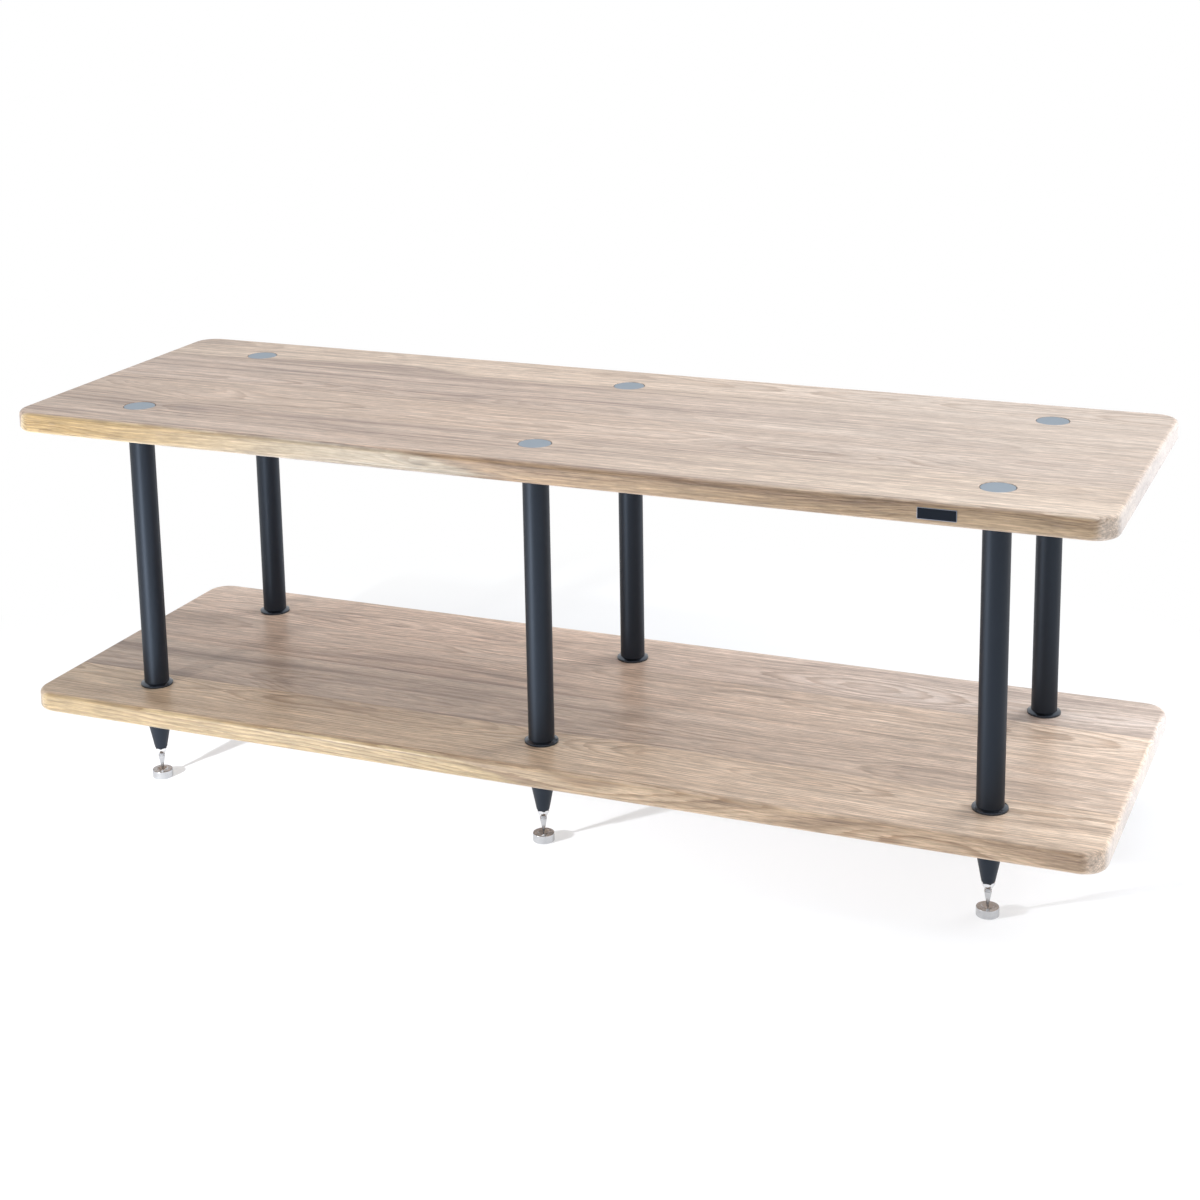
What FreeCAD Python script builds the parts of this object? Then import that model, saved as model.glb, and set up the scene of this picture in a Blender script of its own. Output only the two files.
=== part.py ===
import FreeCAD, Part

import math
import os

# Two-shelf equipment rack. Two solid wood boards are held apart by six steel columns,
# and six cones under the lower board carry spikes that level the rack on floor discs.
# Millimetres. The origin is on the floor under the rack's centre: X runs along the
# boards, Y runs from the front to the back, Z is up.

# Boards
board_length = 1300.0
board_depth = 430.0
board_thickness = 25.0
board_corner_radius = 28.0
board_edge_radius = 6.0
shelf_gap = 327.0

# Column places, from the boards' ends and long edges to the column axes
column_end_inset = 133.0
column_side_inset = 74.0

# Column tube and the plugs welded into its ends
tube_diameter = 30.0
tube_wall = 2.0
plug_length = 20.0
plug_chamfer = 1.0

# Base ring that spreads the column's load on the lower board
ring_diameter = 39.0
ring_rim_height = 1.8
ring_height = 4.0
ring_rim_radius = 0.7
ring_spigot_height = 5.0
ring_spigot_clearance = 0.1
ring_spigot_chamfer = 0.6

# Thread of the studs, the caps and the spikes
thread_diameter = 8.0
thread_chamfer = 0.8
stud_grip = 15.0
board_bore_clearance = 1.0

# Cap let into the upper board
cap_diameter = 37.0
cap_thickness = 4.0
cap_edge_radius = 0.5
cap_sink = 0.3
cap_seat_clearance = 0.7
cap_seat_bevel = 0.5

# Cone under the lower board, with a bore from below that the spike runs in
cone_top_diameter = 37.0
cone_nose_diameter = 14.4
cone_height = 59.0
cone_land_height = 1.6
cone_land_chamfer = 0.5
cone_nose_radius = 2.2
spike_bore_depth = 36.0
spike_clearance = 0.08

# Lock nut, a hexagon with a cone turned on its underside
nut_sides = 6
nut_across_flats = 13.0
nut_height = 6.5
nut_chamfer_degrees = 30.0
nut_bore_chamfer = 0.4
nut_cone_height = 4.6
nut_bottom_diameter = 9.6

# Spike
spike_grip = 25.0
spike_shank_below_nut = 4.8
spike_point_length = 19.7
spike_point_radius = 0.6

# Floor disc and the dimple that the spike stands in
disc_diameter = 25.0
disc_height = 10.0
disc_edge_radius = 0.9
dimple_diameter = 13.0
dimple_floor_diameter = 3.0
dimple_depth = 3.0
dimple_edge_bevel = 0.4

# How far every cutting tool runs past the face that it cuts
overrun = 2.0

# Radii
tube_radius = tube_diameter / 2
tube_bore_radius = tube_radius - tube_wall
thread_radius = thread_diameter / 2
spike_bore_radius = thread_radius + spike_clearance
board_bore_radius = thread_radius + board_bore_clearance
cap_seat_radius = cap_diameter / 2 + cap_seat_clearance

# Heights, from the floor up
dimple_floor = disc_height - dimple_depth
spike_shoulder = dimple_floor + spike_point_length
nut_bottom = spike_shoulder + spike_shank_below_nut
nut_top = nut_bottom + nut_height
cone_bottom = nut_top
cone_top = cone_bottom + cone_height
lower_board_top = cone_top + board_thickness
ring_top = lower_board_top + ring_height
upper_board_bottom = lower_board_top + shelf_gap
upper_board_top = upper_board_bottom + board_thickness
cap_top = upper_board_top - cap_sink
cap_bottom = cap_top - cap_thickness

# Column places
column_x = board_length / 2 - column_end_inset
column_y = board_depth / 2 - column_side_inset
stations = {
    f"{row}_{place}": FreeCAD.Vector(x, y, 0)
    for row, y in (("front", -column_y), ("back", column_y))
    for place, x in (("left", -column_x), ("middle", 0), ("right", column_x))
}

up = FreeCAD.Vector(0, 0, 1)
origin = FreeCAD.Vector(0, 0, 0)


def in_profile(point):
    """A (radius, height) pair as a point of the XZ plane."""
    radius, height = point
    return FreeCAD.Vector(radius, 0, height)


def turned(path):
    """A solid turned about Z from a closed path of (radius, height) points.

    A step that is a pair of points is an arc through the first to the second.
    """
    edges = []
    here = path[0]
    for step in path[1:] + path[:1]:
        if isinstance(step[0], tuple):
            through, end = step
            edges.append(Part.Arc(*map(in_profile, (here, through, end))).toShape())
        else:
            end = step
            edges.append(Part.LineSegment(in_profile(here), in_profile(end)).toShape())
        here = end
    return Part.Face(Part.Wire(edges)).revolve(origin, up, 360)


def quarter_round(centre, radius, start_degrees, turn_degrees=90):
    """The step of a profile that goes round an arc, and the point where it starts."""
    def on_arc(degrees):
        angle = math.radians(degrees)
        return centre[0] + radius * math.cos(angle), centre[1] + radius * math.sin(angle)

    half_turn = turn_degrees / 2
    start = on_arc(start_degrees)
    return start, (on_arc(start_degrees + half_turn), on_arc(start_degrees + turn_degrees))


def cylinder(radius, bottom, top):
    """An upright cylinder about Z."""
    return Part.makeCylinder(radius, top - bottom, FreeCAD.Vector(0, 0, bottom))


def blank_board(bottom):
    """A board with rounded corners and with both its rims rounded over."""
    corner = FreeCAD.Vector(-board_length / 2, -board_depth / 2, bottom)
    board = Part.makeBox(board_length, board_depth, board_thickness, corner)
    uprights = [edge for edge in board.Edges if edge.BoundBox.ZLength > board_thickness / 2]
    board = board.makeFillet(board_corner_radius, uprights)
    rims = [edge for edge in board.Edges if edge.BoundBox.ZLength < board_thickness / 2]
    return board.makeFillet(board_edge_radius, rims)


def lower_board():
    """The lower shelf, with a clearance bore for each stud."""
    board = blank_board(cone_top)
    bore = cylinder(board_bore_radius, cone_top - overrun, lower_board_top + overrun)
    return board.cut([bore.translated(place) for place in stations.values()])


def upper_board():
    """The upper shelf, bored for the caps' studs and counterbored for their discs."""
    board = blank_board(upper_board_bottom)
    flare = cap_seat_radius + cap_seat_bevel + overrun
    cutter = turned([
        (0, upper_board_bottom - overrun),
        (board_bore_radius, upper_board_bottom - overrun),
        (board_bore_radius, cap_bottom),
        (cap_seat_radius, cap_bottom),
        (cap_seat_radius, upper_board_top - cap_seat_bevel),
        (flare, upper_board_top + overrun),
        (0, upper_board_top + overrun),
    ])
    return board.cut([cutter.translated(place) for place in stations.values()])


def column_tube():
    """The steel tube between the base ring and the upper board."""
    return turned([
        (tube_bore_radius, ring_top),
        (tube_radius, ring_top),
        (tube_radius, upper_board_bottom),
        (tube_bore_radius, upper_board_bottom),
    ])


def upper_plug():
    """The tapped plug in the tube's top end that the cap's stud screws into."""
    top = upper_board_bottom
    bottom = top - plug_length
    return turned([
        (thread_radius, bottom),
        (tube_bore_radius - plug_chamfer, bottom),
        (tube_bore_radius, bottom + plug_chamfer),
        (tube_bore_radius, top),
        (thread_radius, top),
    ])


def lower_plug():
    """The tapped plug above the base ring's spigot that the connecting stud screws into."""
    bottom = ring_top + ring_spigot_height
    top = bottom + plug_length
    return turned([
        (thread_radius, bottom),
        (tube_bore_radius, bottom),
        (tube_bore_radius, top - plug_chamfer),
        (tube_bore_radius - plug_chamfer, top),
        (thread_radius, top),
    ])


def base_ring():
    """The bevelled flange under the tube, with a spigot that centres the tube."""
    outer = ring_diameter / 2
    spigot = tube_bore_radius - ring_spigot_clearance
    spigot_top = ring_top + ring_spigot_height
    rim_top = lower_board_top + ring_rim_height
    rim_start, rim_round = quarter_round((outer - ring_rim_radius, rim_top), ring_rim_radius, 0)
    return turned([
        (board_bore_radius, lower_board_top),
        (outer, lower_board_top),
        rim_start,
        rim_round,
        (tube_radius, ring_top),
        (spigot, ring_top),
        (spigot, spigot_top - ring_spigot_chamfer),
        (spigot - ring_spigot_chamfer, spigot_top),
        (board_bore_radius, spigot_top),
    ])


def top_cap():
    """The disc let into the upper board, in one with the stud that pulls it down."""
    outer = cap_diameter / 2
    stud_bottom = upper_board_bottom - stud_grip
    edge_start, edge_round = quarter_round(
        (outer - cap_edge_radius, cap_top - cap_edge_radius), cap_edge_radius, 0
    )
    return turned([
        (0, stud_bottom),
        (thread_radius - thread_chamfer, stud_bottom),
        (thread_radius, stud_bottom + thread_chamfer),
        (thread_radius, cap_bottom),
        (outer, cap_bottom),
        edge_start,
        edge_round,
        (0, cap_top),
    ])


def connecting_stud():
    """The rod that joins the tube's lower plug to the cone, through ring and board."""
    bottom = cone_top - stud_grip
    top = ring_top + ring_spigot_height + stud_grip
    return turned([
        (0, bottom),
        (thread_radius - thread_chamfer, bottom),
        (thread_radius, bottom + thread_chamfer),
        (thread_radius, top - thread_chamfer),
        (thread_radius - thread_chamfer, top),
        (0, top),
    ])


def cone_foot():
    """The cone that clamps the lower board from below and holds the spike."""
    outer = cone_top_diameter / 2
    nose = cone_nose_diameter / 2
    slope = (outer - nose) / (cone_height - cone_land_height)
    lean = math.atan(slope)
    nose_centre_z = cone_bottom + cone_nose_radius
    nose_centre_r = nose + cone_nose_radius * slope - cone_nose_radius / math.cos(lean)
    nose_start, nose_round = quarter_round(
        (nose_centre_r, nose_centre_z), cone_nose_radius, -90, 90 - math.degrees(lean)
    )
    cone = turned([
        (0, cone_bottom),
        nose_start,
        nose_round,
        (outer, cone_top - cone_land_height),
        (outer, cone_top - cone_land_chamfer),
        (outer - cone_land_chamfer, cone_top),
        (0, cone_top),
    ])
    bore_end = cone_bottom + spike_bore_depth
    spike_bore = cylinder(spike_bore_radius, cone_bottom - overrun, bore_end)
    stud_bore = cylinder(thread_radius, bore_end, cone_top + overrun)
    return cone.cut([spike_bore, stud_bore])


def lock_nut():
    """A hexagon nut with a chamfered top face, a conical underside and a tapped bore."""
    flat_radius = nut_across_flats / 2
    corner_radius = flat_radius / math.cos(math.pi / nut_sides)
    corners = []
    for side in range(nut_sides + 1):
        angle = 2 * math.pi * side / nut_sides
        corners.append(
            FreeCAD.Vector(corner_radius * math.cos(angle), corner_radius * math.sin(angle), nut_bottom)
        )
    prism = Part.Face(Part.makePolygon(corners)).extrude(up * nut_height)
    chamfer_rise = (corner_radius - flat_radius) * math.tan(math.radians(nut_chamfer_degrees))
    mouth = spike_bore_radius + nut_bore_chamfer
    envelope = turned([
        (spike_bore_radius, nut_bottom + nut_bore_chamfer),
        (mouth, nut_bottom),
        (nut_bottom_diameter / 2, nut_bottom),
        (corner_radius, nut_bottom + nut_cone_height),
        (corner_radius, nut_top - chamfer_rise),
        (flat_radius, nut_top),
        (mouth, nut_top),
        (spike_bore_radius, nut_top - nut_bore_chamfer),
    ])
    return prism.common(envelope)


def spike():
    """The pointed spike in one with the shank that screws up into the cone."""
    top = cone_bottom + spike_grip
    centre_z = dimple_floor + spike_point_radius
    reach = math.hypot(thread_radius, spike_shoulder - centre_z)
    lean = math.atan2(thread_radius, spike_shoulder - centre_z) - math.asin(spike_point_radius / reach)
    tip, tip_round = quarter_round((0, centre_z), spike_point_radius, -90, 90 - math.degrees(lean))
    return turned([
        tip,
        tip_round,
        (thread_radius, spike_shoulder),
        (thread_radius, top - thread_chamfer),
        (thread_radius - thread_chamfer, top),
        (0, top),
    ])


def floor_disc():
    """The disc on the floor, with a dimple that keeps the spike's point."""
    outer = disc_diameter / 2
    dimple = dimple_diameter / 2
    low_start, low_round = quarter_round(
        (outer - disc_edge_radius, disc_edge_radius), disc_edge_radius, -90
    )
    high_start, high_round = quarter_round(
        (outer - disc_edge_radius, disc_height - disc_edge_radius), disc_edge_radius, 0
    )
    return turned([
        (0, 0),
        low_start,
        low_round,
        high_start,
        high_round,
        (dimple + dimple_edge_bevel, disc_height),
        (dimple, disc_height - dimple_edge_bevel),
        (dimple_floor_diameter / 2, dimple_floor),
        (0, dimple_floor),
    ])


def save(name, shape):
    """Writes one node's file."""
    shape.exportStep(f"parts/{name}.step")


os.makedirs("parts", exist_ok=True)
save("lower_board", lower_board())
save("upper_board", upper_board())
repeated = {
    "column_tube": column_tube(),
    "upper_plug": upper_plug(),
    "lower_plug": lower_plug(),
    "base_ring": base_ring(),
    "top_cap": top_cap(),
    "cone_foot": cone_foot(),
    "lock_nut": lock_nut(),
    "spike": spike(),
    "floor_disc": floor_disc(),
}
for place_name, place in stations.items():
    for piece_name, piece in repeated.items():
        save(f"{piece_name}_{place_name}", piece.translated(place))
stud = connecting_stud()
save("connecting_studs", Part.makeCompound([stud.translated(place) for place in stations.values()]))
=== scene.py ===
import math

import bmesh
import bpy
from mathutils import Matrix, Vector


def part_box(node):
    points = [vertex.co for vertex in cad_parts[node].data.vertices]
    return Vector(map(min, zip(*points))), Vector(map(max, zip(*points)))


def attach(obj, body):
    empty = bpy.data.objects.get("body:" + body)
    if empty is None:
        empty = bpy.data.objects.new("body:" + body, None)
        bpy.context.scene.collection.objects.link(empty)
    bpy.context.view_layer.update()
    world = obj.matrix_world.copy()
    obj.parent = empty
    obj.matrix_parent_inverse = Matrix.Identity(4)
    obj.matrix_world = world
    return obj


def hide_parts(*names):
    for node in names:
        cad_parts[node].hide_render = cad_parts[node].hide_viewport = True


# Looks of the two-shelf equipment rack, in metres: X runs along the boards, Y to the back and
# Z up. The spikes' threads and the plate on the upper board's edge are made here. The rest is
# the frame's own solids with their finishes, and a white studio round them.

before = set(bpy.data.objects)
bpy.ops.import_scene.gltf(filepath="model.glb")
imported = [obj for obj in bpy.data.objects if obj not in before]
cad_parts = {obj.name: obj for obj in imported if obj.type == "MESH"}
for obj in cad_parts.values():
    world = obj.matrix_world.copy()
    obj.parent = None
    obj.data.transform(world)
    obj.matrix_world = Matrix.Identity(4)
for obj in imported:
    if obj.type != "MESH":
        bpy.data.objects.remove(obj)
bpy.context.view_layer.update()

MM = 0.001

# Camera. The aim is the point on the optical axis at the camera's distance.
PHOTO_SIDE = 1200
CAMERA_AIM = Vector((0.0241, 0.0, 0.5532))
CAMERA_DISTANCE = 2.5426
CAMERA_AZIMUTH = math.radians(22.62)
CAMERA_ELEVATION = math.radians(12.77)
CAMERA_ROLL = math.radians(-0.907)
FOCAL_PIXELS = 2207.8
CENTRE_PIXEL = (602.4, 348.0)
SENSOR_WIDTH = 36.0

# Places of the columns, as the frame has them
STATIONS = [f"{row}_{side}" for row in ("front", "back") for side in ("left", "middle", "right")]


def middle(node):
    """The middle of a node's box."""
    low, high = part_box(node)
    return (low + high) / 2


COLUMN_SPACING = middle("column_tube_back_right").x
COLUMN_ROW = middle("column_tube_back_right").y

# Turned spike: its thread is cut on the shank above a short plain collar. Crest and root are the
# widths of the thread's ridge, which is sunk a little into its core and grows out of it over the
# lead-in's steps. The first turn's height, a little over its root, tells it from the next turn.
THREAD_PITCH = 1.25 * MM
THREAD_DEPTH = 0.65 * MM
THREAD_CREST = 0.16 * MM
THREAD_ROOT = 1.1 * MM
THREAD_SUNK = 0.1 * MM
THREAD_STEPS = 28
THREAD_LEAD_IN = 7
FIRST_TURN_HEIGHT = THREAD_ROOT * 1.01
SPIKE_POINT_LENGTH = 19.7 * MM
SPIKE_POINT_RADIUS = 0.6 * MM
SPIKE_COLLAR = 0.7 * MM
SPIKE_STEPS = 48
POINT_STEPS = 5
MERGE_DISTANCE = 0.001 * MM

# Plate on the upper board's front edge
PLATE_CENTRE_X = 0.472
PLATE_WIDTH = 41.0 * MM
PLATE_HEIGHT = 12.4 * MM
PLATE_PROUD = 0.6 * MM
PLATE_SUNK = 0.6 * MM
PLATE_CORNER = 0.9 * MM
PLATE_CORNER_STEPS = 5
PLATE_EDGE = 0.15 * MM
PLATE_EDGE_STEPS = 2
PLATE_RIM = 0.35 * MM
PLATE_RECESS = 0.12 * MM

# Edges of a made piece that are sharper than this stay sharp
SMOOTH_ANGLE = math.radians(35.0)

# Fields of the wood's figure: cycles per metre along, across and down the board, detail and
# roughness. The last three are cycles along the grain, across the rings and between staves.
SWAY = ((1.2, 2.0, 2.0), 1.0, 0.5)
DIP = ((1.7, 3.0, 3.0), 2.0, 0.5)
RIPPLE = ((10.0, 34.0, 34.0), 3.0, 0.6)
GRAIN = ((40.0, 340.0, 340.0), 3.0, 0.7)
FIBRE = ((16.0, 620.0, 620.0), 4.0, 0.72)
STREAKS = ((2.2, 165.0, 165.0), 5.0, 0.74)
PORES = ((60.0, 1100.0, 1100.0), 1.0, 0.5)
SAP_DRIFT = ((3.0, 14.0, 14.0), 2.0, 0.5)
RING_GAPS = ((1.0, 90.0, 1.0), 2.0, 0.5)
RING_STRENGTH = ((1.6, 60.0, 1.0), 3.0, 0.5)
BANDS = ((0.8, 60.0, 1.0), 4.0, 0.62)

# Staves: how many, and an offset that keeps their numbers positive. Each stave's fields are moved
# by up to the shifts, and its rings' fields by up to the seed. The dip's field is moved further.
STAVES = 4
STAVE_OFFSET = 40
STAVE_SHIFTS = (7.0, 7.0, 7.0)
STAVE_SEED = 50.0
DIP_SHIFT = (5.0, 5.0, 5.0)

# Growth rings: the pith lies within a share of its stave's width, at a depth from the least share
# of the given one up by the spread. Then how much more it dips than it sways, how far ripple and
# grain bend a ring, and how uneven the rings' gaps are.
PITH_SIDE_SHARE = 0.9
PITH_DEPTH_SPREAD, PITH_DEPTH_LEAST = 0.8, 0.6
DIP_SHARE = 1.6
RIPPLE_BEND = 3.4 * MM
GRAIN_BEND = 1.2 * MM
RING_UNEVENNESS = 2.4

# Late wood within a ring, from 0 at its start to 1 at its end: where it darkens and ends
LATE_WOOD_START, LATE_WOOD_FULL, LATE_WOOD_END = 0.2, 0.88, 0.9
LATE_WOOD_CURVE = 1.5

# Between which values its field makes a ring stronger and a pore deeper, how strong a ring and
# how deep a pore then is, and how far a knot's heart reaches, squared, in the knot's own reach
STRENGTH_STOPS = (0.36, 0.66)
WEAK_RING, STRONG_RING = 0.2, 1.0
PORE_STOPS = (0.6, 0.68)
PORES_ANYWHERE, PORES_ADDED_IN_RINGS = 0.4, 0.6
HEART_REACH_SQUARED = 0.12

# Tones of the wood: the streaks' share beside the bands, the tones that are dark, brown and
# light, the contrast added on the edges, where along the board the left's tints give way to the
# right's, and how wide the rim of edges and ends is. The tints carry painted light, lighter
# towards the right, and painted shade on the edges.
STREAK_SHARE = 0.42
DARK_TONE, BROWN_TONE, LIGHT_TONE = 0.365, 0.475, 0.61
EDGE_CONTRAST = 0.5
TINTS_CHANGE = (-0.15, 0.45)
RIM_BAND = 4.0 * MM

# Sapwood along the front edge: its depth at the left and past its end, the length of its taper,
# its drift, its slope away from the front and up from the bottom, where its colour changes, its
# soft border and the darker line there
SAP_DEPTHS = (22.0 * MM, -4.0 * MM)
SAP_TAPER = 0.28
SAP_DRIFT_DEPTH = 14.0 * MM
SAP_SLOPE_BACK, SAP_SLOPE_UP = 2.6, 0.6
SAP_TONES_CHANGE = (-0.6, -0.15)
SAP_BORDER = (-5.0 * MM, 3.5 * MM)
SAP_LINE_START, SAP_LINE, SAP_LINE_END = -8.0 * MM, -0.5 * MM, 1.5 * MM
SAP_LINE_SHARE = 0.5

# How much of each fine mark shows in the wood's colour, gloss and height, and how much painted
# sheen the ends get. Tones and roughness change over a field's middle.
RING_SHARE, RING_SHARE_ADDED_ON_EDGE = 0.6, 0.1
HEART_SHARE = 0.6
PORE_SHARE = 0.4
PAINTED_END_SHEEN_SHARE = 0.5
FIELD_MIDDLE = (0.3, 0.7)
GRAIN_TONES = (0.74, 1.24)
FIBRE_TONES = (0.64, 1.3)
FIBRE_ROUGHNESS = (0.34, 0.46)
PORE_ROUGHNESS = 0.15
END_ROUGHNESS = 0.08
FIBRE_HEIGHT_SHARE = 0.4
WOOD_RELIEF = 0.06 * MM

# Fields of the lathe marks' drift and of smudges, where a turned and a sprayed surface have their
# two colours, how much lighter the coat's clouds are, and the tint of its gloss
LATHE_DRIFT = ((900.0, 900.0, 11.0), 2.0, 0.5)
SMUDGES = ((70.0, 70.0, 70.0), 3.0, 0.6)
WORN_STOPS = (0.3, 0.65)
CLOUD_STOPS = (0.3, 0.7)
CLOUD_LIGHTER = 1.35
COAT_GLOSS_TINT = (0.63, 0.77, 0.98, 1.0)

WHITE = (1.0, 1.0, 1.0, 1.0)

# Studio floor: shaded near the rack, plain white to the camera further out
FLOOR_REACH = 30.0
FLOOR_COLOUR = (0.78, 0.81, 0.86, 1.0)
FLOOR_SHADE_CENTRE = (0.0, -0.15, 0.0)
FLOOR_SHADE_ENDS = (0.65, 1.15)
FLOOR_WHITENESS = (0.56, 1.0)
WORLD_LEVEL = 0.45


def srgb(red, green, blue):
    """A colour given in 0 to 255 as it is seen, as the linear colour that the shaders take."""
    def linear(value):
        value /= 255
        return value / 12.92 if value <= 0.04045 else ((value + 0.055) / 1.055) ** 2.4

    return linear(red), linear(green), linear(blue), 1.0


# Shader building

def add(tree, kind, inputs=None, **settings):
    """A new shader node with its settings, and its inputs set or linked."""
    made = tree.nodes.new("ShaderNode" + kind)
    for name, value in settings.items():
        setattr(made, name, value)
    for key, value in (inputs or {}).items():
        if isinstance(value, bpy.types.NodeSocket):
            tree.links.new(value, made.inputs[key])
        else:
            made.inputs[key].default_value = value
    return made


def maths(tree, operation, *values):
    """One step of arithmetic on numbers or sockets."""
    return add(tree, "Math", dict(enumerate(values)), operation=operation).outputs[0]


def vector_maths(tree, operation, *values, output="Vector"):
    """One step of arithmetic on vectors."""
    made = add(tree, "VectorMath", dict(enumerate(values)), operation=operation)
    return made.outputs[output]


def split_axes(tree, position):
    """The X, Y and Z of a position."""
    return add(tree, "SeparateXYZ", {0: position}).outputs


def from_axis(tree, first, second):
    """How far a point lies from an axis, by its two offsets from it."""
    squares = [maths(tree, "MULTIPLY", offset, offset) for offset in (first, second)]
    return maths(tree, "SQRT", maths(tree, "ADD", *squares))


def noise(tree, position, cycles, detail, roughness):
    """Noise with its own scale along each axis, in cycles per metre."""
    made = add(tree, "TexNoise", {
        "Vector": vector_maths(tree, "MULTIPLY", position, cycles),
        "Scale": 1.0, "Detail": detail, "Roughness": roughness,
    })
    return made.outputs["Fac"]


def swing(tree, position, field):
    """Noise that swings round zero."""
    return maths(tree, "SUBTRACT", noise(tree, position, *field), 0.5)


def ramp(tree, factor, stops, interpolation="LINEAR"):
    """A colour ramp from (place, colour) stops, in their order."""
    made = add(tree, "ValToRGB", {"Fac": factor})
    made.color_ramp.interpolation = interpolation
    elements = made.color_ramp.elements
    for (place, colour), element in zip((stops[0], stops[-1]), list(elements)):
        element.position, element.color = place, colour
    for place, colour in stops[1:-1]:
        elements.new(place).color = colour
    return made.outputs["Color"]


def between(tree, value, low, high, to_low=0.0, to_high=1.0, smooth=True):
    """A value moved from one range to another and held inside it."""
    made = add(
        tree, "MapRange",
        {"Value": value, "From Min": low, "From Max": high, "To Min": to_low, "To Max": to_high},
        interpolation_type="SMOOTHSTEP" if smooth else "LINEAR",
    )
    return made.outputs["Result"]


def blend(tree, factor, first, second, how="MIX"):
    """Two colours mixed."""
    inputs = {0: factor, 6: first, 7: second}
    return add(tree, "Mix", inputs, data_type="RGBA", blend_type=how).outputs[2]


def tinted(tree, colour, tint):
    """A colour multiplied by a tint."""
    return blend(tree, 1.0, colour, tint, "MULTIPLY")


def new_group(name, inputs, outputs):
    """A shader node group with named sockets, and its input and output nodes."""
    tree = bpy.data.node_groups.new(name, "ShaderNodeTree")
    for label, kind, value in inputs:
        socket = tree.interface.new_socket(
            label, in_out="INPUT", socket_type="NodeSocket" + kind
        )
        if value is not None:
            socket.default_value = value
    for label, kind in outputs:
        tree.interface.new_socket(label, in_out="OUTPUT", socket_type="NodeSocket" + kind)
    given = tree.nodes.new("NodeGroupInput").outputs
    result = tree.nodes.new("NodeGroupOutput").inputs
    return tree, given, result


def use_group(tree, group, inputs):
    """A group placed in a material with that material's own values. Gives its outputs."""
    return add(tree, "Group", inputs, node_tree=group).outputs


def knot_pull_group():
    """How strongly a knot pushes the growth rings aside, and where its dark heart is."""
    tree, given, result = new_group(
        "knot_pull",
        [
            ("Position", "Vector", None),
            ("Knot", "Vector", None),
            ("Reach", "Vector", (0.1, 0.02, 0.03)),
            ("Push", "Float", 0.01),
            ("Darkness", "Float", 0.0),
        ],
        [("Push", "Float"), ("Heart", "Float")],
    )
    away = vector_maths(tree, "SUBTRACT", given["Position"], given["Knot"])
    away = vector_maths(tree, "DIVIDE", away, given["Reach"])
    squared = vector_maths(tree, "DOT_PRODUCT", away, away, output="Value")
    hill = maths(tree, "EXPONENT", maths(tree, "MULTIPLY", squared, -1.0))
    heart = between(tree, squared, 0.0, HEART_REACH_SQUARED, 1.0, 0.0)
    tree.links.new(maths(tree, "MULTIPLY", hill, given["Push"]), result["Push"])
    tree.links.new(maths(tree, "MULTIPLY", heart, given["Darkness"]), result["Heart"])
    return tree


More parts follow.
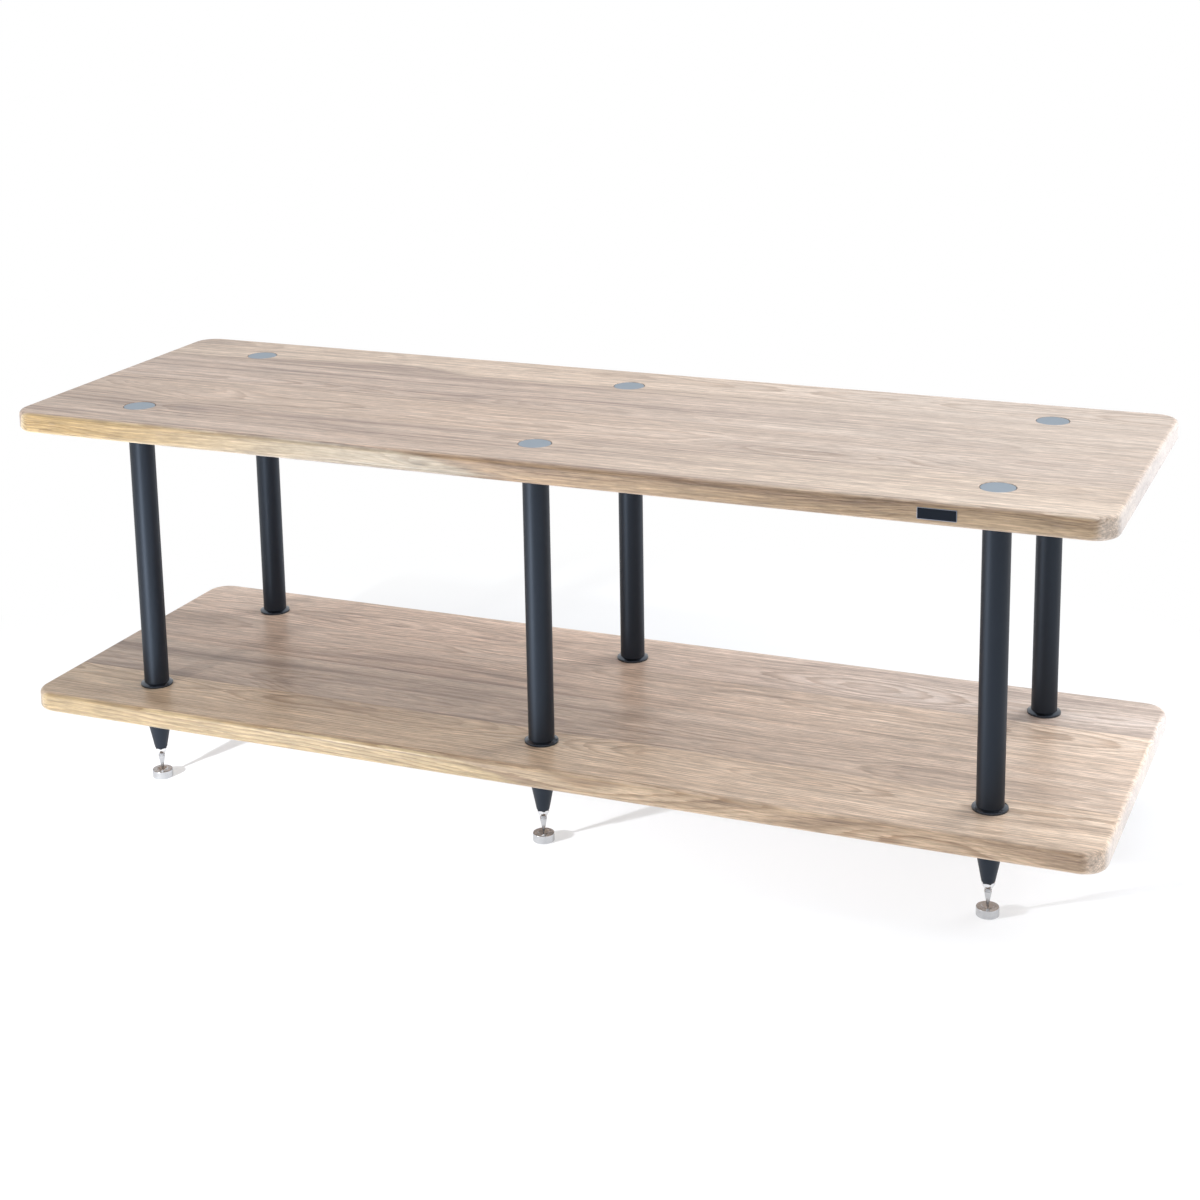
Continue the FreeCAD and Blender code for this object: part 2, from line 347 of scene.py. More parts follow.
def solid_wood_group():
    """Figure of a board glued up from sawn staves, as a solid pattern.

    Each stave is cut from its own log: growth rings run round a pith below it, and wander
    slowly along the grain, so its face shows arches in the middle and lines at the sides.
    """
    tree, given, result = new_group(
        "solid_wood_figure",
        [
            ("Position", "Vector", None),
            ("Swirl", "Float", 0.0),
            ("Log", "Float", 0.0),
            ("Stave Width", "Float", 0.1075),
            ("Joint Shift", "Float", 0.0),
            ("Ring Spacing", "Float", 0.0024),
            ("Pith Depth", "Float", 0.06),
            ("Wander", "Float", 0.04),
        ],
        [
            ("Rings", "Float"),
            ("Bands", "Float"),
            ("Streaks", "Float"),
            ("Grain", "Float"),
            ("Fibre", "Float"),
            ("Pores", "Float"),
            ("Stave Place", "Float"),
        ],
    )
    place = split_axes(tree, given["Position"])
    across = maths(tree, "ADD", place["Y"], given["Joint Shift"])
    count = maths(tree, "DIVIDE", across, given["Stave Width"])
    count = maths(tree, "ADD", count, STAVE_OFFSET)
    number = maths(tree, "FLOOR", count)
    in_stave = maths(tree, "SUBTRACT", maths(tree, "FRACT", count), 0.5)
    chance = add(
        tree, "TexWhiteNoise", {"W": maths(tree, "ADD", number, given["Log"])},
        noise_dimensions="1D",
    ).outputs
    shift = vector_maths(tree, "MULTIPLY", chance["Color"], STAVE_SHIFTS)
    along = vector_maths(tree, "ADD", given["Position"], shift)

    luck = add(tree, "SeparateColor", {0: chance["Color"]}).outputs
    pith_side = maths(
        tree, "MULTIPLY_ADD", luck["Red"], PITH_SIDE_SHARE, -PITH_SIDE_SHARE / 2
    )
    pith_depth = maths(
        tree, "MULTIPLY_ADD", luck["Green"], PITH_DEPTH_SPREAD, PITH_DEPTH_LEAST
    )
    from_pith = maths(
        tree, "MULTIPLY", maths(tree, "ADD", in_stave, pith_side), given["Stave Width"]
    )
    sway = swing(tree, along, SWAY)
    dip = swing(tree, vector_maths(tree, "ADD", along, DIP_SHIFT), DIP)
    dip_wander = maths(tree, "MULTIPLY", given["Wander"], DIP_SHARE)
    ring_y = maths(tree, "MULTIPLY_ADD", sway, given["Wander"], from_pith)
    ring_z = maths(
        tree, "ADD",
        maths(tree, "MULTIPLY_ADD", dip, dip_wander, place["Z"]),
        maths(tree, "MULTIPLY", given["Pith Depth"], pith_depth),
    )
    radius = from_axis(tree, ring_y, ring_z)
    ripple = swing(tree, along, RIPPLE)
    radius = maths(tree, "MULTIPLY_ADD", ripple, RIPPLE_BEND, radius)
    radius = maths(tree, "ADD", radius, given["Swirl"])
    grain = noise(tree, along, *GRAIN)
    radius = maths(tree, "MULTIPLY_ADD", grain, GRAIN_BEND, radius)

    stave_seed = maths(tree, "MULTIPLY", chance["Value"], STAVE_SEED)
    ring_place = add(
        tree, "CombineXYZ", {"X": place["X"], "Y": radius, "Z": stave_seed}
    ).outputs[0]
    turns = maths(
        tree, "MULTIPLY_ADD", noise(tree, ring_place, *RING_GAPS), RING_UNEVENNESS,
        maths(tree, "DIVIDE", radius, given["Ring Spacing"]),
    )
    in_ring = maths(tree, "FRACT", turns)
    late_wood = maths(
        tree, "POWER", between(tree, in_ring, LATE_WOOD_START, LATE_WOOD_FULL), LATE_WOOD_CURVE
    )
    ring_end = between(tree, in_ring, LATE_WOOD_END, 1.0, 1.0, 0.0)
    rings = maths(tree, "MULTIPLY", late_wood, ring_end)
    strength = between(
        tree, noise(tree, ring_place, *RING_STRENGTH), *STRENGTH_STOPS, WEAK_RING, STRONG_RING
    )
    pores = maths(
        tree, "MULTIPLY", between(tree, noise(tree, along, *PORES), *PORE_STOPS),
        maths(tree, "MULTIPLY_ADD", rings, PORES_ADDED_IN_RINGS, PORES_ANYWHERE),
    )
    # The board's middle lies between its two middle staves
    first_stave = STAVE_OFFSET - STAVES / 2
    stave_place = maths(
        tree, "MULTIPLY_ADD", number, 1 / STAVES, (0.5 - first_stave) / STAVES
    )

    for label, value in (
        ("Rings", maths(tree, "MULTIPLY", rings, strength)),
        ("Bands", noise(tree, ring_place, *BANDS)),
        ("Streaks", noise(tree, along, *STREAKS)),
        ("Grain", grain),
        ("Fibre", noise(tree, along, *FIBRE)),
        ("Pores", pores),
        ("Stave Place", stave_place),
    ):
        tree.links.new(value, result[label])
    return tree


def turned_marks_group():
    """Fine circles that a lathe leaves round the axis of the nearest column."""
    tree, given, result = new_group(
        "turned_marks",
        [
            ("Position", "Vector", None),
            ("Pitch", "Float", 0.0004),
            ("Unevenness", "Float", 1.0),
        ],
        [("Marks", "Float"), ("Smudges", "Float")],
    )
    place = split_axes(tree, given["Position"])
    nearest = maths(tree, "ROUND", maths(tree, "DIVIDE", place["X"], COLUMN_SPACING))
    nearest = maths(tree, "MULTIPLY", nearest, COLUMN_SPACING)
    local_x = maths(tree, "SUBTRACT", place["X"], nearest)
    local_y = maths(tree, "SUBTRACT", maths(tree, "ABSOLUTE", place["Y"]), COLUMN_ROW)
    radius = from_axis(tree, local_x, local_y)
    ring_place = add(
        tree, "CombineXYZ", {"X": radius, "Y": place["Z"], "Z": nearest}
    ).outputs[0]
    cut = maths(tree, "MULTIPLY", maths(tree, "ADD", radius, place["Z"]), math.tau)
    drift = maths(tree, "MULTIPLY", given["Unevenness"], math.tau)
    wave = maths(tree, "SINE", maths(
        tree, "ADD",
        maths(tree, "DIVIDE", cut, given["Pitch"]),
        maths(tree, "MULTIPLY", noise(tree, ring_place, *LATHE_DRIFT), drift),
    ))
    tree.links.new(maths(tree, "MULTIPLY_ADD", wave, 0.5, 0.5), result["Marks"])
    tree.links.new(noise(tree, given["Position"], *SMUDGES), result["Smudges"])
    return tree


def sprayed_coat_group():
    """The small soft bumps and the slow unevenness of a sprayed coat."""
    tree, given, result = new_group(
        "sprayed_coat",
        [
            ("Position", "Vector", None),
            ("Grain", "Float", 900.0),
            ("Cloud", "Float", 14.0),
        ],
        [("Bumps", "Float"), ("Clouds", "Float")],
    )
    for scale, detail, roughness, label in (
        ("Grain", 2.0, 0.5, "Bumps"),
        ("Cloud", 3.0, 0.6, "Clouds"),
    ):
        field = add(tree, "TexNoise", {
            "Vector": given["Position"], "Scale": given[scale],
            "Detail": detail, "Roughness": roughness,
        })
        tree.links.new(field.outputs["Fac"], result[label])
    return tree


KNOT_PULL = knot_pull_group()
SOLID_WOOD = solid_wood_group()
TURNED_MARKS = turned_marks_group()
SPRAYED_COAT = sprayed_coat_group()


# Finishes

def new_material(name, **sockets):
    """A material with one shader, whose even values are set on the shader's own sockets."""
    material = bpy.data.materials.new(name)
    material.use_nodes = True
    shader = material.node_tree.nodes["Principled BSDF"]
    for key, value in sockets.items():
        shader.inputs[key.replace("_", " ")].default_value = value
    return material, material.node_tree, shader


def object_position(tree, centre=(0.0, 0.0, 0.0)):
    """Object coordinates measured from a centre."""
    place = add(tree, "TexCoord").outputs["Object"]
    away = [-value for value in centre]
    return add(tree, "Mapping", {"Vector": place, "Location": away}).outputs[0]


def bump(tree, shader, height, distance):
    """Puts a height on a shader's normal."""
    made = add(tree, "Bump", {"Height": height, "Distance": distance})
    tree.links.new(made.outputs["Normal"], shader.inputs["Normal"])


def knots_in(tree, position, knots):
    """How far a board's knots push its rings aside together, and their dark hearts."""
    swirl, heart = 0.0, 0.0
    for place, reach, push, darkness in knots:
        knot = use_group(tree, KNOT_PULL, {
            "Position": position, "Knot": place, "Reach": reach,
            "Push": push, "Darkness": darkness,
        })
        swirl = maths(tree, "ADD", swirl, knot["Push"])
        heart = maths(tree, "MAXIMUM", heart, knot["Heart"])
    return swirl, heart


def stave_colours(tree, figure, along, painted_light_to_right, on_edge, tones, contrast, staves):
    """The figure's dark, brown and light tones, in each stave's own tint and painted light."""
    dark, brown, light = tones
    tone = maths(
        tree, "MULTIPLY_ADD", figure["Streaks"], STREAK_SHARE,
        maths(tree, "MULTIPLY", figure["Bands"], 1 - STREAK_SHARE),
    )
    spread = maths(
        tree, "MULTIPLY_ADD", on_edge, EDGE_CONTRAST,
        between(tree, along, *TINTS_CHANGE, *contrast),
    )
    tone = maths(tree, "SUBTRACT", tone, BROWN_TONE)
    tone = maths(tree, "MULTIPLY_ADD", tone, spread, BROWN_TONE)
    stops = [(DARK_TONE, dark), (BROWN_TONE, brown), (LIGHT_TONE, light)]
    # Painted light: each stave's tint is lighter and cooler at the right end than at the left
    left_tone_and_painted_light, right_tone_and_painted_light = (
        ramp(
            tree, figure["Stave Place"],
            [(count / STAVES, tint) for count, tint in enumerate(tints)], "CONSTANT",
        )
        for tints in zip(*staves)
    )
    tint = blend(tree, painted_light_to_right, left_tone_and_painted_light, right_tone_and_painted_light)
    return tinted(tree, ramp(tree, tone, stops), tint)


def with_sapwood(tree, colour, dark, position, along, from_front, above_bottom, tones, end):
    """A board's colour with pale sapwood along its front edge, up to an end."""
    depth = between(tree, along, end - SAP_TAPER, end, *SAP_DEPTHS)
    drift = maths(
        tree, "MULTIPLY_ADD", noise(tree, position, *SAP_DRIFT),
        SAP_DRIFT_DEPTH, -SAP_DRIFT_DEPTH / 2,
    )
    depth = maths(tree, "ADD", depth, drift)
    slope = maths(
        tree, "MULTIPLY_ADD", from_front, SAP_SLOPE_BACK,
        maths(tree, "MULTIPLY", above_bottom, SAP_SLOPE_UP),
    )
    inside = maths(tree, "SUBTRACT", depth, slope)
    sap = blend(tree, between(tree, along, *SAP_TONES_CHANGE), *tones)
    colour = blend(tree, between(tree, inside, *SAP_BORDER), colour, sap)
    line = maths(
        tree, "MULTIPLY",
        between(tree, inside, SAP_LINE_START, SAP_LINE),
        between(tree, inside, SAP_LINE, SAP_LINE_END, 1.0, 0.0),
    )
    return blend(tree, maths(tree, "MULTIPLY", line, SAP_LINE_SHARE), colour, dark)


def board_wood(
    name, node, log, joint_shift, knots, tones, contrast, staves, edge_painted_shades, sap_tones, sap_end
):
    """Oiled solid wood of one board, with sapwood at the left of its front edge.

    The tones are dark, brown and light. The staves' tints are given from front to back, and
    these, the edges' and the sapwood's, and the contrast of the tones, each at the left and at
    the right. The staves' tints hold their own tones and painted light, lighter towards the
    right.
    The edges' tints are painted shade, and the ends get a painted sheen.
    """
    dark = tones[0]
    low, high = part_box(node)
    half_length, half_depth, half_height = (high - low) / 2
    material, tree, shader = new_material(name, IOR=1.5, Coat_Weight=0.09, Coat_Roughness=0.15)
    position = object_position(tree, middle(node))
    place = split_axes(tree, position)
    along = place["X"]
    # Where the painted light and shade move from the left's tints to the right's
    painted_light_to_right = between(tree, along, *TINTS_CHANGE)
    from_front = maths(tree, "ADD", place["Y"], half_depth)
    above_bottom = maths(tree, "ADD", place["Z"], half_height)
    from_edge = maths(tree, "SUBTRACT", half_depth, maths(tree, "ABSOLUTE", place["Y"]))
    from_end = maths(tree, "SUBTRACT", half_length, maths(tree, "ABSOLUTE", along))
    on_edge = between(tree, from_edge, 0.0, RIM_BAND, 1.0, 0.0)

    swirl, heart = knots_in(tree, position, knots)
    figure = use_group(
        tree, SOLID_WOOD,
        {"Position": position, "Swirl": swirl, "Log": log, "Joint Shift": joint_shift},
    )
    colour = stave_colours(
        tree, figure, along, painted_light_to_right, on_edge, tones, contrast, staves
    )
    colour = with_sapwood(
        tree, colour, dark, position, along, from_front, above_bottom, sap_tones, sap_end
    )
    ring_share = maths(tree, "MULTIPLY_ADD", on_edge, RING_SHARE_ADDED_ON_EDGE, RING_SHARE)
    ring_share = maths(tree, "MULTIPLY", figure["Rings"], ring_share)
    colour = blend(tree, ring_share, colour, tinted(tree, colour, RING_LINE))
    colour = blend(tree, maths(tree, "MULTIPLY", heart, HEART_SHARE), colour, KNOT_HEART)
    # Painted shade: the edges are tinted darker and warmer than the top, more so towards the
    # right
    painted_edge_shade = blend(tree, painted_light_to_right, *edge_painted_shades)
    colour = blend(tree, on_edge, colour, tinted(tree, colour, painted_edge_shade))

    fine = maths(
        tree, "MULTIPLY",
        between(tree, figure["Grain"], *FIELD_MIDDLE, *GRAIN_TONES, smooth=False),
        between(tree, figure["Fibre"], *FIELD_MIDDLE, *FIBRE_TONES, smooth=False),
    )
    fine_tint = add(tree, "CombineColor", {0: fine, 1: fine, 2: fine}).outputs[0]
    colour = tinted(tree, colour, fine_tint)
    colour = blend(tree, maths(tree, "MULTIPLY", figure["Pores"], PORE_SHARE), colour, dark)
    # Painted sheen: the ends are blended towards a pale grey
    end_sheen_share = between(tree, from_end, 0.0, RIM_BAND, PAINTED_END_SHEEN_SHARE, 0.0)
    colour = blend(tree, end_sheen_share, colour, PAINTED_END_SHEEN)
    tree.links.new(colour, shader.inputs["Base Color"])

    rough = maths(
        tree, "MULTIPLY_ADD", figure["Pores"], PORE_ROUGHNESS,
        between(tree, figure["Fibre"], *FIELD_MIDDLE, *FIBRE_ROUGHNESS, smooth=False),
    )
    end_rough = between(tree, from_end, 0.0, RIM_BAND, END_ROUGHNESS, 0.0)
    tree.links.new(maths(tree, "ADD", rough, end_rough), shader.inputs["Roughness"])
    fibre_height = maths(tree, "MULTIPLY", figure["Fibre"], FIBRE_HEIGHT_SHARE)
    bump(tree, shader, maths(tree, "SUBTRACT", fibre_height, figure["Pores"]), WOOD_RELIEF)
    return material


def coated_steel(name, colour, roughness, spread, bump_height, ior=1.54):
    """Steel with a sprayed coat."""
    material, tree, shader = new_material(name, IOR=ior, Specular_Tint=COAT_GLOSS_TINT)
    coat = use_group(tree, SPRAYED_COAT, {"Position": object_position(tree)})
    light = tuple(min(1.0, value * CLOUD_LIGHTER) for value in colour[:3]) + (1.0,)
    colours = ramp(tree, coat["Clouds"], list(zip(CLOUD_STOPS, (colour, light))))
    tree.links.new(colours, shader.inputs["Base Color"])
    rough = maths(tree, "MULTIPLY_ADD", coat["Clouds"], spread, roughness - spread / 2)
    tree.links.new(rough, shader.inputs["Roughness"])
    bump(tree, shader, coat["Bumps"], bump_height)
    return material


def turned_metal(name, colour, shade, roughness, spread, pitch, mark_height, mark_share=0.35):
    """Bare or anodised metal with the circles of the lathe."""
    material, tree, shader = new_material(name, Metallic=1.0)
    marks = use_group(
        tree, TURNED_MARKS, {"Position": object_position(tree), "Pitch": pitch}
    )
    worn = maths(
        tree, "ADD",
        maths(tree, "MULTIPLY", marks["Marks"], mark_share),
        maths(tree, "MULTIPLY", marks["Smudges"], 1.0 - mark_share),
    )
    colours = ramp(tree, worn, list(zip(WORN_STOPS, (shade, colour))))
    tree.links.new(colours, shader.inputs["Base Color"])
    rough = maths(tree, "MULTIPLY_ADD", worn, spread, roughness - spread / 2)
    tree.links.new(rough, shader.inputs["Roughness"])
    bump(tree, shader, marks["Marks"], mark_height)
    return material


# Laid over the wood's tones: in each ring's late wood, at a knot's heart, and as a painted sheen
# on the ends
RING_LINE = srgb(186, 168, 151)
KNOT_HEART = srgb(98, 82, 72)
PAINTED_END_SHEEN = srgb(190, 190, 193)

# Knots and swirls: place from the board's middle, reach along, across and down, push, darkness
UPPER_KNOTS = [
    ((-0.33, 0.145, 0.012), (0.14, 0.018, 0.03), 0.010, 0.0),
    ((-0.54, -0.035, 0.012), (0.09, 0.017, 0.03), -0.009, 0.0),
    ((0.30, -0.075, 0.012), (0.12, 0.020, 0.03), 0.012, 0.25),
    ((0.53, -0.040, 0.012), (0.09, 0.018, 0.03), -0.010, 0.0),
    ((-0.60, -0.215, -0.001), (0.06, 0.02, 0.010), -0.007, 0.0),
    ((-0.105, -0.215, -0.001), (0.05, 0.02, 0.009), 0.009, 0.8),
    ((0.08, -0.215, -0.006), (0.10, 0.02, 0.012), 0.006, 0.0),
    ((0.52, -0.215, 0.002), (0.12, 0.02, 0.011), -0.007, 0.0),
    ((0.175, 0.057, 0.0125), (0.05, 0.007, 0.006), 0.002, 0.7),
]
LOWER_KNOTS = [
    ((-0.29, 0.053, 0.012), (0.10, 0.020, 0.03), 0.012, 0.0),
    ((0.19, 0.080, 0.012), (0.13, 0.024, 0.03), 0.009, 0.2),
    ((0.31, -0.149, 0.012), (0.09, 0.018, 0.03), -0.009, 0.0),
    ((-0.50, -0.10, 0.012), (0.12, 0.018, 0.03), 0.008, 0.0),
    ((0.05, -0.215, -0.004), (0.14, 0.02, 0.012), 0.007, 0.0),
    ((0.45, -0.215, 0.002), (0.12, 0.02, 0.011), -0.006, 0.0),
    ((0.115, -0.044, 0.0125), (0.045, 0.007, 0.006), 0.002, 0.7),
]
UPPER_WOOD = board_wood(
    "upper_board_wood", "upper_board", log=3.0, joint_shift=0.0, knots=UPPER_KNOTS,
    tones=(srgb(165, 145, 134), srgb(215, 197, 180), srgb(240, 223, 207)),
    contrast=(1.35, 0.65),
    # Staves' tints at the left and at the right: their own tones with painted light at the right
    staves=[
        (srgb(225, 217, 214), srgb(255, 255, 255)),
        (srgb(226, 217, 212), srgb(237, 237, 241)),
        (srgb(222, 214, 212), srgb(238, 239, 243)),
        (srgb(243, 237, 232), srgb(231, 232, 236)),
    ],
    # Painted shade on the edges, at the left and at the right
    edge_painted_shades=(srgb(212, 199, 172), srgb(203, 190, 168)),
    # The sapwood fades to a pale grey at its end: partly its own colour, partly a painted sheen
    sap_tones=(srgb(211, 192, 160), srgb(205, 200, 200)), sap_end=0.06,
)
LOWER_WOOD = board_wood(
    "lower_board_wood", "lower_board", log=31.0, joint_shift=0.003, knots=LOWER_KNOTS,
    tones=(srgb(167, 146, 131), srgb(221, 200, 180), srgb(246, 227, 208)),
    contrast=(1.25, 0.85),
    # Staves' tints at the left and at the right: their own tones with painted light at the right
    staves=[
        (srgb(209, 203, 192), srgb(255, 255, 255)),
        (srgb(203, 201, 202), srgb(247, 248, 252)),
        (srgb(215, 210, 210), srgb(251, 252, 255)),
        (srgb(244, 240, 242), srgb(238, 243, 255)),
    ],
    # Painted shade on the edges, at the left and at the right
    edge_painted_shades=(srgb(230, 224, 210), srgb(217, 206, 191)),
    sap_tones=(srgb(194, 174, 142), srgb(207, 188, 157)), sap_end=0.1,
)
BLACK_COAT = coated_steel(
    "satin_black_coat", srgb(12, 14, 20), roughness=0.48, spread=0.06, bump_height=0.03 * MM
)
BLACK_RING = coated_steel(
    "gloss_black_coat", srgb(12, 14, 18), roughness=0.2, spread=0.05, bump_height=0.01 * MM,
    ior=1.8,
)
SILVER_CAP = turned_metal(
    "fine_satin_silver", srgb(151, 163, 175), srgb(144, 156, 168), roughness=0.5, spread=0.08,
    pitch=0.6 * MM, mark_height=0.004 * MM,
)
BRIGHT_NUT = turned_metal(
    "polished_nut", srgb(236, 236, 238), srgb(214, 215, 218), roughness=0.1, spread=0.06,
    pitch=0.5 * MM, mark_height=0.0005 * MM, mark_share=0.04,
)
BRIGHT_STEEL = turned_metal(
    "turned_steel", srgb(206, 207, 209), srgb(182, 183, 186), roughness=0.24, spread=0.1,
    pitch=0.7 * MM, mark_height=0.005 * MM, mark_share=0.2,
)
PLAIN_STEEL = turned_metal(
    "zinc_plated_steel", srgb(190, 190, 192), srgb(160, 160, 164), roughness=0.35, spread=0.12,
    pitch=0.8 * MM, mark_height=0.01 * MM,
)
PLATE_ENAMEL = coated_steel(
    "plate_dark_enamel", srgb(14, 17, 24), roughness=0.3, spread=0.04, bump_height=0.005 * MM,
    ior=1.33,
)
PLATE_METAL = turned_metal(
    "plate_bright_rim", srgb(150, 156, 168), srgb(132, 138, 150), roughness=0.3, spread=0.06,
    pitch=0.8 * MM, mark_height=0.003 * MM,
)

# Finish of each kind of node, by the start of its name
NODE_FINISHES = {
    "upper_board": UPPER_WOOD,
    "lower_board": LOWER_WOOD,
    "column_tube": BLACK_COAT,
    "cone_foot": BLACK_COAT,
    "base_ring": BLACK_RING,
    "top_cap": SILVER_CAP,
    "lock_nut": BRIGHT_NUT,
    "floor_disc": BRIGHT_STEEL,
    "spike": BRIGHT_STEEL,
    "upper_plug": PLAIN_STEEL,
    "lower_plug": PLAIN_STEEL,
    "connecting_studs": PLAIN_STEEL,
}
for node_name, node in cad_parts.items():
    finish = next(made for start, made in NODE_FINISHES.items() if node_name.startswith(start))
    node.data.materials.clear()
    node.data.materials.append(finish)


# Pieces made here

def new_object(name, mesh_edit):
    """An object in the scene from a finished mesh edit."""
    mesh = bpy.data.meshes.new(name)
    mesh_edit.to_mesh(mesh)
    mesh_edit.free()
    made = bpy.data.objects.new(name, mesh)
    bpy.context.scene.collection.objects.link(made)
    return made


def finish_piece(name, mesh_edit, materials, body):
    """A piece with its place in its mesh, riding on a body."""
    piece = new_object(name, mesh_edit)
    for material in materials:
        piece.data.materials.append(material)
    piece.data.shade_smooth()
    piece.data.set_sharp_from_angle(angle=SMOOTH_ANGLE)
    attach(piece, body)
    return piece


def edge_chain(mesh_edit, points):
    """Vertices at (radius, height) points beside the Z axis, joined in a row by edges."""
    row = [mesh_edit.verts.new((radius, 0.0, height)) for radius, height in points]
    return row + [mesh_edit.edges.new(pair) for pair in zip(row, row[1:])]


def spike_outline(tip, shoulder, thread_start, top, radius, core):
    """(radius, height) points from a spike's rounded tip up to its top, without its thread."""
    tip_centre = tip + SPIKE_POINT_RADIUS
    reach = math.hypot(radius, shoulder - tip_centre)
    lean = math.atan2(radius, shoulder - tip_centre) - math.asin(SPIKE_POINT_RADIUS / reach)
    round_end = math.pi / 2 - lean
    outline = []
    for step in range(POINT_STEPS + 1):
        angle = round_end * step / POINT_STEPS
        outline.append((
            SPIKE_POINT_RADIUS * math.sin(angle),
            tip_centre - SPIKE_POINT_RADIUS * math.cos(angle),
        ))
    return outline + [
        (radius, shoulder),
        (radius, thread_start),
        (core, thread_start + THREAD_DEPTH / 2),
        (core, top - THREAD_DEPTH),
        (core - THREAD_DEPTH, top),
        (0.0, top),
    ]


def wind_thread(mesh_edit, thread_start, thread_end, foot, crest):
    """A thread's ridge wound up round the Z axis, rising out of its core where it starts."""
    before = set(mesh_edit.verts)
    half_root, half_crest = THREAD_ROOT / 2, THREAD_CREST / 2
    profile = mesh_edit.faces.new([
        mesh_edit.verts.new((radius, 0.0, thread_start + height)) for radius, height in (
            (foot, 0.0),
            (crest, half_root - half_crest),
            (crest, half_root + half_crest),
            (foot, THREAD_ROOT),
        )
    ])
    steps = round((thread_end - thread_start - THREAD_ROOT) / THREAD_PITCH * THREAD_STEPS)
    bmesh.ops.spin(
        mesh_edit, geom=[profile], cent=(0, 0, 0), axis=(0, 0, 1),
        dvec=(0, 0, THREAD_PITCH / THREAD_STEPS), angle=math.tau * steps / THREAD_STEPS,
        steps=steps,
    )
    lead = THREAD_LEAD_IN * THREAD_PITCH / THREAD_STEPS
    for vert in mesh_edit.verts:
        if vert in before:
            continue
        climb = math.atan2(vert.co.y, vert.co.x) % math.tau / math.tau * THREAD_PITCH
        if climb < lead and vert.co.z - thread_start - climb < FIRST_TURN_HEIGHT:
            limit = foot + (crest - foot) * climb / lead
            here = math.hypot(vert.co.x, vert.co.y)
            if here > limit:
                vert.co.x *= limit / here
                vert.co.y *= limit / here


def threaded_spike(station):
    """The spike with the thread cut on its shank."""
    node = f"spike_{station}"
    low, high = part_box(node)
    radius = (high.x - low.x) / 2
    core = radius - THREAD_DEPTH
    shoulder = low.z + SPIKE_POINT_LENGTH
    thread_start = shoulder + SPIKE_COLLAR
    made = bmesh.new()
    bmesh.ops.spin(
        made,
        geom=edge_chain(
            made, spike_outline(low.z, shoulder, thread_start, high.z, radius, core)
        ),
        cent=(0, 0, 0), axis=(0, 0, 1), dvec=(0, 0, 0),
        angle=math.tau, steps=SPIKE_STEPS, use_merge=True,
    )
    bmesh.ops.remove_doubles(made, verts=made.verts, dist=MERGE_DISTANCE)
    wind_thread(made, thread_start, high.z - THREAD_DEPTH, core - THREAD_SUNK, radius)
    bmesh.ops.recalc_face_normals(made, faces=made.faces)
    axis = Vector((middle(node).x, middle(node).y, 0.0))
    bmesh.ops.translate(made, verts=made.verts, vec=axis)
    piece = finish_piece(
        f"threaded_spike_{station}", made, [BRIGHT_STEEL], f"{station}_spike"
    )
    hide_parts(node)


def round_edges(mesh_edit, edges, size, steps):
    """Rounds the given edges over."""
    bmesh.ops.bevel(
        mesh_edit, geom=edges, offset=size, offset_type="OFFSET", segments=steps, profile=0.5,
        affect="EDGES", material=-1,
    )


def front_face(mesh_edit):
    """The face that lies furthest to the front."""
    return min(mesh_edit.faces, key=lambda face: face.calc_center_median().y)


def bare_plate():
    """A small enamelled plate with a bright rim, set into the upper board's front edge."""
    low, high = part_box("upper_board")
    thickness = PLATE_PROUD + PLATE_SUNK
    made = bmesh.new()
    bmesh.ops.create_cube(made, size=1.0)
    bmesh.ops.scale(made, verts=made.verts, vec=(PLATE_WIDTH, thickness, PLATE_HEIGHT))
    front_to_back = [
        edge for edge in made.edges if edge.verts[0].co.y * edge.verts[1].co.y < 0
    ]
    round_edges(made, front_to_back, PLATE_CORNER, PLATE_CORNER_STEPS)
    round_edges(made, list(front_face(made).edges), PLATE_EDGE, PLATE_EDGE_STEPS)
    front = front_face(made)
    for face in made.faces:
        face.material_index = 1
    bmesh.ops.inset_region(made, faces=[front], thickness=PLATE_RIM, depth=0.0)
    bmesh.ops.inset_region(made, faces=[front], thickness=PLATE_RECESS, depth=-PLATE_RECESS)
    front.material_index = 0
    centre = Vector(
        (PLATE_CENTRE_X, low.y + (PLATE_SUNK - PLATE_PROUD) / 2, (low.z + high.z) / 2)
    )
    bmesh.ops.translate(made, verts=made.verts, vec=centre)
    bmesh.ops.recalc_face_normals(made, faces=made.faces)
    finish_piece("edge_plate", made, [PLATE_ENAMEL, PLATE_METAL], "rack")


for station in STATIONS:
    threaded_spike(station)
bare_plate()


# Studio

def seen_ray(tree):
    """1 for rays from the camera, off gloss or through glass, and 0 for plain light."""
    rays = add(tree, "LightPath").outputs
    by_surface = maths(tree, "MAXIMUM", rays["Is Glossy Ray"], rays["Is Transmission Ray"])
    return maths(tree, "MAXIMUM", rays["Is Camera Ray"], by_surface)


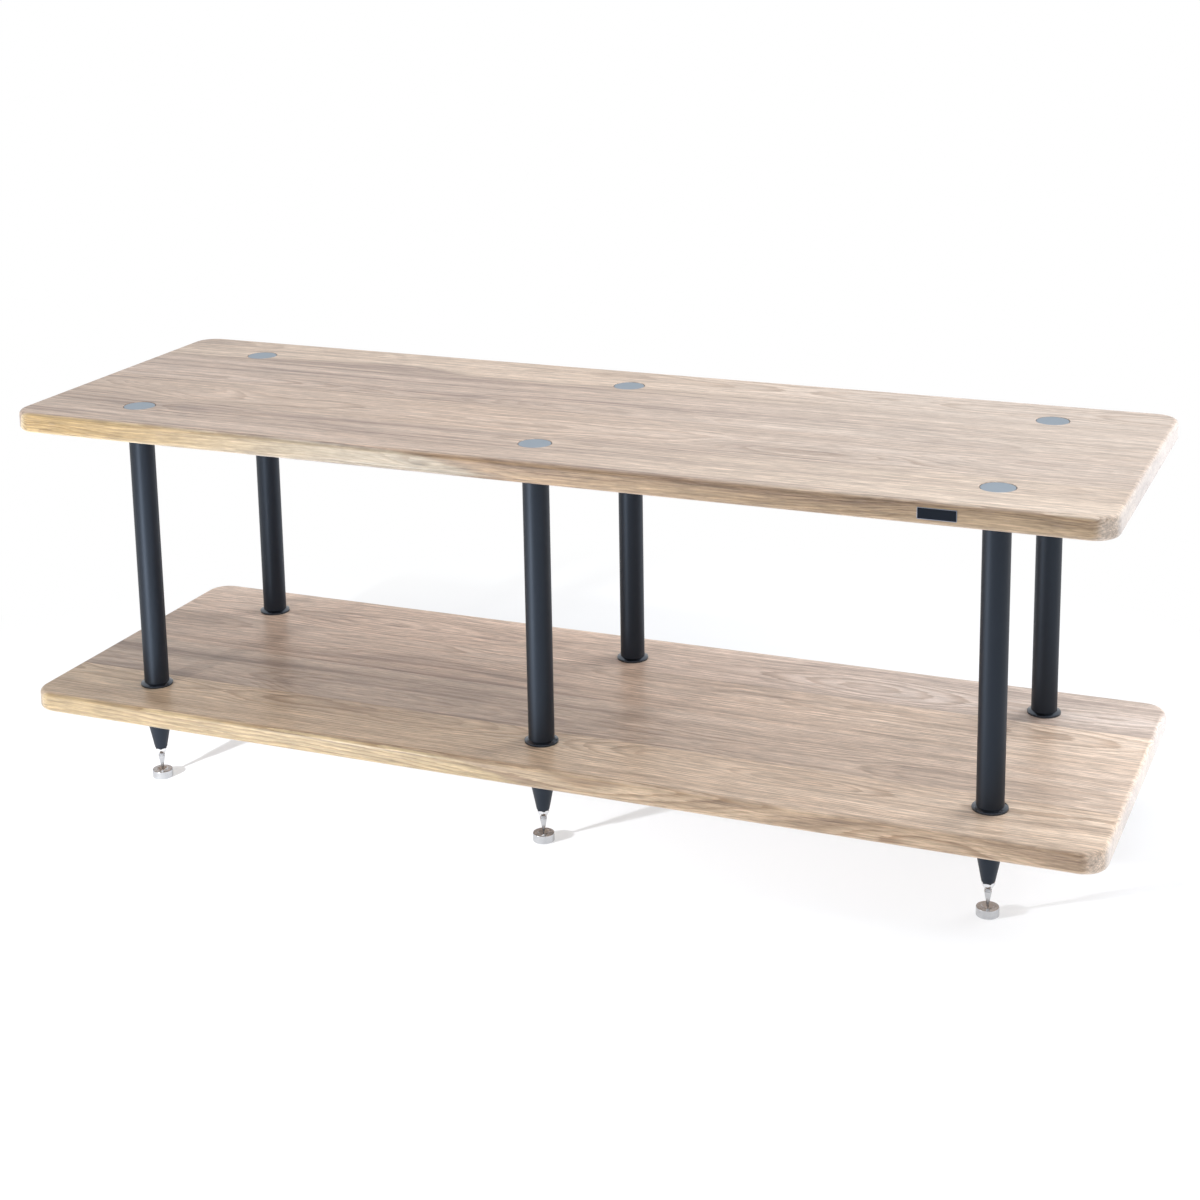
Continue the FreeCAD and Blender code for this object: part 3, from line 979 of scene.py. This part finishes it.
def studio_floor():
    """A wide pale floor that keeps the shade near the rack and is plain white further out."""
    mesh_edit = bmesh.new()
    bmesh.ops.create_grid(mesh_edit, x_segments=1, y_segments=1, size=FLOOR_REACH)
    made = new_object("studio_floor", mesh_edit)
    material, tree, shader = new_material(
        "studio_white", Base_Color=FLOOR_COLOUR, Roughness=0.9, Specular_IOR_Level=0.1
    )
    glow = add(tree, "Emission", {"Color": WHITE, "Strength": 1.0})
    place = add(tree, "TexCoord").outputs["Object"]
    away = vector_maths(tree, "SUBTRACT", place, FLOOR_SHADE_CENTRE)
    far = vector_maths(tree, "LENGTH", away, output="Value")
    white = between(tree, far, *FLOOR_SHADE_ENDS, *FLOOR_WHITENESS)
    share = maths(tree, "MULTIPLY", seen_ray(tree), white)
    mixed = add(tree, "MixShader", {0: share, 1: shader.outputs[0], 2: glow.outputs[0]})
    tree.links.new(mixed.outputs[0], tree.nodes["Material Output"].inputs["Surface"])
    made.data.materials.append(material)
    return made


def studio_world():
    """Even white surroundings: white to the camera and in gloss, softer as light."""
    world = bpy.data.worlds.new("white_studio")
    world.use_nodes = True
    tree = world.node_tree
    background = tree.nodes["Background"]
    strength = between(tree, seen_ray(tree), 0.0, 1.0, WORLD_LEVEL, 1.0, smooth=False)
    tree.links.new(strength, background.inputs["Strength"])
    background.inputs["Color"].default_value = WHITE
    bpy.context.scene.world = world


def softbox(name, place, aim, side, watts, diffuse=True, gloss=True):
    """A square lamp that faces its aim and lights plain surfaces, gloss or both."""
    lamp = bpy.data.lights.new(name, "AREA")
    lamp.shape = "SQUARE"
    lamp.size = side
    lamp.energy = watts
    lit = bpy.data.objects.new(name, lamp)
    lit.location = place
    lit.rotation_euler = (Vector(aim) - Vector(place)).to_track_quat("-Z", "Y").to_euler()
    lit.visible_camera = False
    lit.visible_diffuse = diffuse
    lit.visible_glossy = gloss
    bpy.context.scene.collection.objects.link(lit)
    return lit


def photo_camera():
    """The camera at the photograph's place."""
    back = Vector((
        math.sin(CAMERA_AZIMUTH) * math.cos(CAMERA_ELEVATION),
        -math.cos(CAMERA_AZIMUTH) * math.cos(CAMERA_ELEVATION),
        math.sin(CAMERA_ELEVATION),
    ))
    level_right = Vector((0.0, 0.0, 1.0)).cross(back).normalized()
    level_up = back.cross(level_right)
    right = math.cos(CAMERA_ROLL) * level_right + math.sin(CAMERA_ROLL) * level_up
    top = back.cross(right)
    data = bpy.data.cameras.new("photo_camera")
    data.sensor_width = SENSOR_WIDTH
    data.lens = FOCAL_PIXELS / PHOTO_SIDE * SENSOR_WIDTH
    data.shift_x = 0.5 - CENTRE_PIXEL[0] / PHOTO_SIDE
    data.shift_y = CENTRE_PIXEL[1] / PHOTO_SIDE - 0.5
    camera = bpy.data.objects.new("photo_camera", data)
    turn = Matrix((right, top, back)).transposed().to_4x4()
    camera.matrix_world = Matrix.Translation(CAMERA_AIM + back * CAMERA_DISTANCE) @ turn
    bpy.context.scene.collection.objects.link(camera)
    bpy.context.scene.camera = camera


photo_camera()
floor = studio_floor()
studio_world()
softbox(
    "back_window", place=(1.56, 1.52, 0.68), aim=(0.25, 0.0, 0.25), side=1.3, watts=63.0,
    gloss=False,
)
softbox("overhead_box", place=(0.7, 0.0, 2.3), aim=(0.2, 0.0, 0.4), side=1.5, watts=21.0)
softbox(
    "front_left_key", place=(-0.9, -1.5, 0.75), aim=(0.0, 0.0, 0.25), side=0.12, watts=9.3,
    gloss=False,
)
softbox(
    "sheen_card", place=(-0.62, -1.05, 0.055), aim=(0.0, -0.1, 0.27), side=0.1, watts=4.6,
    diffuse=False,
)

# Crisp pale shadows under the feet, from a lamp that lights the floor only
floor_lamp = softbox(
    "floor_lamp", place=(-0.77, -1.17, 0.49), aim=(-0.1, -0.1, 0.0), side=0.05, watts=46.0
)
floor_only = bpy.data.collections.new("floor_only")
floor_only.objects.link(floor)
floor_lamp.light_linking.receiver_collection = floor_only
bpy.context.scene.view_settings.view_transform = "Standard"
